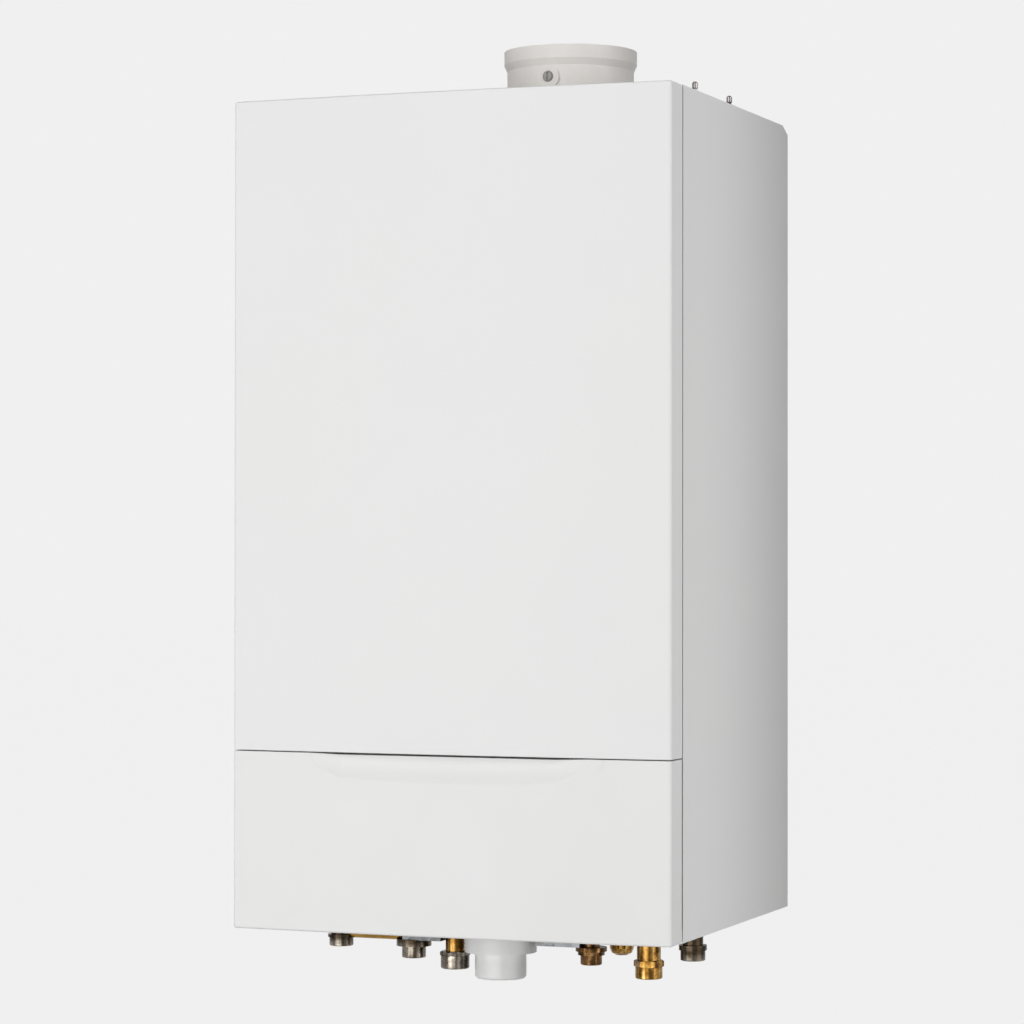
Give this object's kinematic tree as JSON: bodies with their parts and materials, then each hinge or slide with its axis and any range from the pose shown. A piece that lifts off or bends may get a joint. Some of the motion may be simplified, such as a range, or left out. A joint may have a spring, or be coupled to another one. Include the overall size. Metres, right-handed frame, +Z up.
{
  "type": "combi boiler",
  "caption": "Wall-hung gas combi boiler: white casing with pull-off front cover and drop-down control flap, twin flue collar on top, pipe ends below.",
  "frame": {"origin": "middle of the two hanging holes in the back frame, on the wall", "axes": "+Z up, +Y into the wall, the front faces -Y, +X to the right seen from the front"},
  "size_m": [0.44, 0.384, 0.9087],
  "materials": {
    "white_enamel": "satin",
    "white_moulding": "satin",
    "grey_plastic": "matte",
    "galvanised_sheet": "satin",
    "nickel_fitting": "satin",
    "brass_fitting": "satin",
    "aged_brass": "matte",
    "copper_pipe": "satin",
    "steel_pin": "satin",
    "cast_aluminium": "matte",
    "burner_steel": "satin",
    "black_plastic": "matte",
    "dark_casting": "satin",
    "charcoal_knob": "satin",
    "panel_grey": "satin",
    "red_cap": "satin",
    "red_vessel": "satin",
    "braided_hose": "satin",
    "display_window": "gloss",
    "circuit_green": "satin",
    "trap_white": "satin",
    "white_key": "satin",
    "needle_black": "matte"
  },
  "bodies": {
    "boiler": {"air_intake": "black_plastic", "back_frame": "galvanised_sheet", "burner": "burner_steel", "burner_hood": "cast_aluminium", "circuit_board": "circuit_green", "cold_water_connector": "aged_brass", "condensate_sump": "black_plastic", "control_box": "panel_grey", "control_panel": "panel_grey", "cover_catches": "black_plastic", "diverter_motor": "white_key", "exchanger_hanger": "galvanised_sheet", "expansion_vessel": "red_vessel", "fan_housing": "cast_aluminium", "fan_motor": "dark_casting", "floor_plate": "galvanised_sheet", "flow_connector": "nickel_fitting", "flow_group": "brass_fitting", "flow_pipe": "copper_pipe", "flue_collar": "grey_plastic", "flue_pipe": "grey_plastic", "gas_nut": "nickel_fitting", "gas_pipe": "brass_fitting", "gas_tube": "nickel_fitting", "gas_valve": "cast_aluminium", "heat_exchanger": "cast_aluminium", "hinge_pins": "steel_pin", "hot_water_connector": "nickel_fitting", "left_side_panel": "white_enamel", "link_bar": "brass_fitting", "panel_window": "display_window", "pipe_brackets": "galvanised_sheet", "plate_exchanger": "burner_steel", "pressure_gauge": "charcoal_knob", "pump_motor": "dark_casting", "pump_volute": "dark_casting", "relief_outlet": "nickel_fitting", "relief_valve": "brass_fitting", "return_connector": "brass_fitting", "return_group": "brass_fitting", "return_pipe": "copper_pipe", "right_side_panel": "white_enamel", "siphon_trap": "trap_white", "test_port_plug": "grey_plastic", "top_panel": "white_enamel", "top_studs": "nickel_fitting", "vessel_hose": "braided_hose"},
    "cover": {"front_cover": "white_enamel"},
    "flap": {"control_flap": "white_moulding"},
    "heating_dial": {"heating_knob": "charcoal_knob"},
    "water_dial": {"water_knob": "charcoal_knob"},
    "minus_key": {"minus_button": "white_key"},
    "plus_key": {"plus_button": "white_key"},
    "rocker": {"power_switch": "charcoal_knob"},
    "needle": {"gauge_needle": "needle_black"},
    "fan_rotor": {"fan_impeller": "black_plastic"},
    "pump_rotor": {"pump_impeller": "black_plastic"},
    "diverter": {"diverter_spindle": "steel_pin"},
    "relief_handle": {"relief_cap": "red_cap"}
  },
  "joints": [
    {"name": "cover_pull_off", "type": "slide", "parent": "boiler", "child": "cover", "axis": [0, -1, 0], "range_m": [0, 0.15]},
    {"name": "flap_drop", "type": "hinge", "parent": "boiler", "child": "flap", "pos_m": [0, -0.3517, -0.746], "axis": [1, 0, 0], "range_deg": [0, 90]},
    {"name": "heating_turn", "type": "hinge", "parent": "boiler", "child": "heating_dial", "pos_m": [-0.075, -0.346, -0.667], "axis": [0, 1, 0], "range_deg": [-135, 135]},
    {"name": "water_turn", "type": "hinge", "parent": "boiler", "child": "water_dial", "pos_m": [0.075, -0.346, -0.667], "axis": [0, 1, 0], "range_deg": [-135, 135]},
    {"name": "minus_press", "type": "slide", "parent": "boiler", "child": "minus_key", "axis": [0, 1, 0], "range_m": [0, 0.0015], "stiffness_N_per_m": 500, "springref_m": -0.001},
    {"name": "plus_press", "type": "slide", "parent": "boiler", "child": "plus_key", "axis": [0, 1, 0], "range_m": [0, 0.0015], "stiffness_N_per_m": 500, "springref_m": -0.001},
    {"name": "power_rock", "type": "hinge", "parent": "boiler", "child": "rocker", "pos_m": [0.15, -0.333, -0.667], "axis": [1, 0, 0], "range_deg": [-16, 0]},
    {"name": "needle_sweep", "type": "hinge", "parent": "boiler", "child": "needle", "pos_m": [-0.15, -0.3361, -0.667], "axis": [0, 1, 0], "range_deg": [0, 270]},
    {"name": "fan_spin", "type": "hinge", "parent": "boiler", "child": "fan_rotor", "pos_m": [0.14, -0.262, -0.232], "axis": [0, 1, 0], "continuous": true},
    {"name": "pump_spin", "type": "hinge", "parent": "boiler", "child": "pump_rotor", "pos_m": [0.1399, -0.21, -0.527], "axis": [0, 1, 0], "continuous": true},
    {"name": "diverter_lift", "type": "slide", "parent": "boiler", "child": "diverter", "axis": [0, 0, 1], "range_m": [0, 0.008]},
    {"name": "relief_turn", "type": "hinge", "parent": "boiler", "child": "relief_handle", "pos_m": [0.1845, -0.203, -0.622], "axis": [0, 0, 1], "range_deg": [0, 90]}
  ]
}
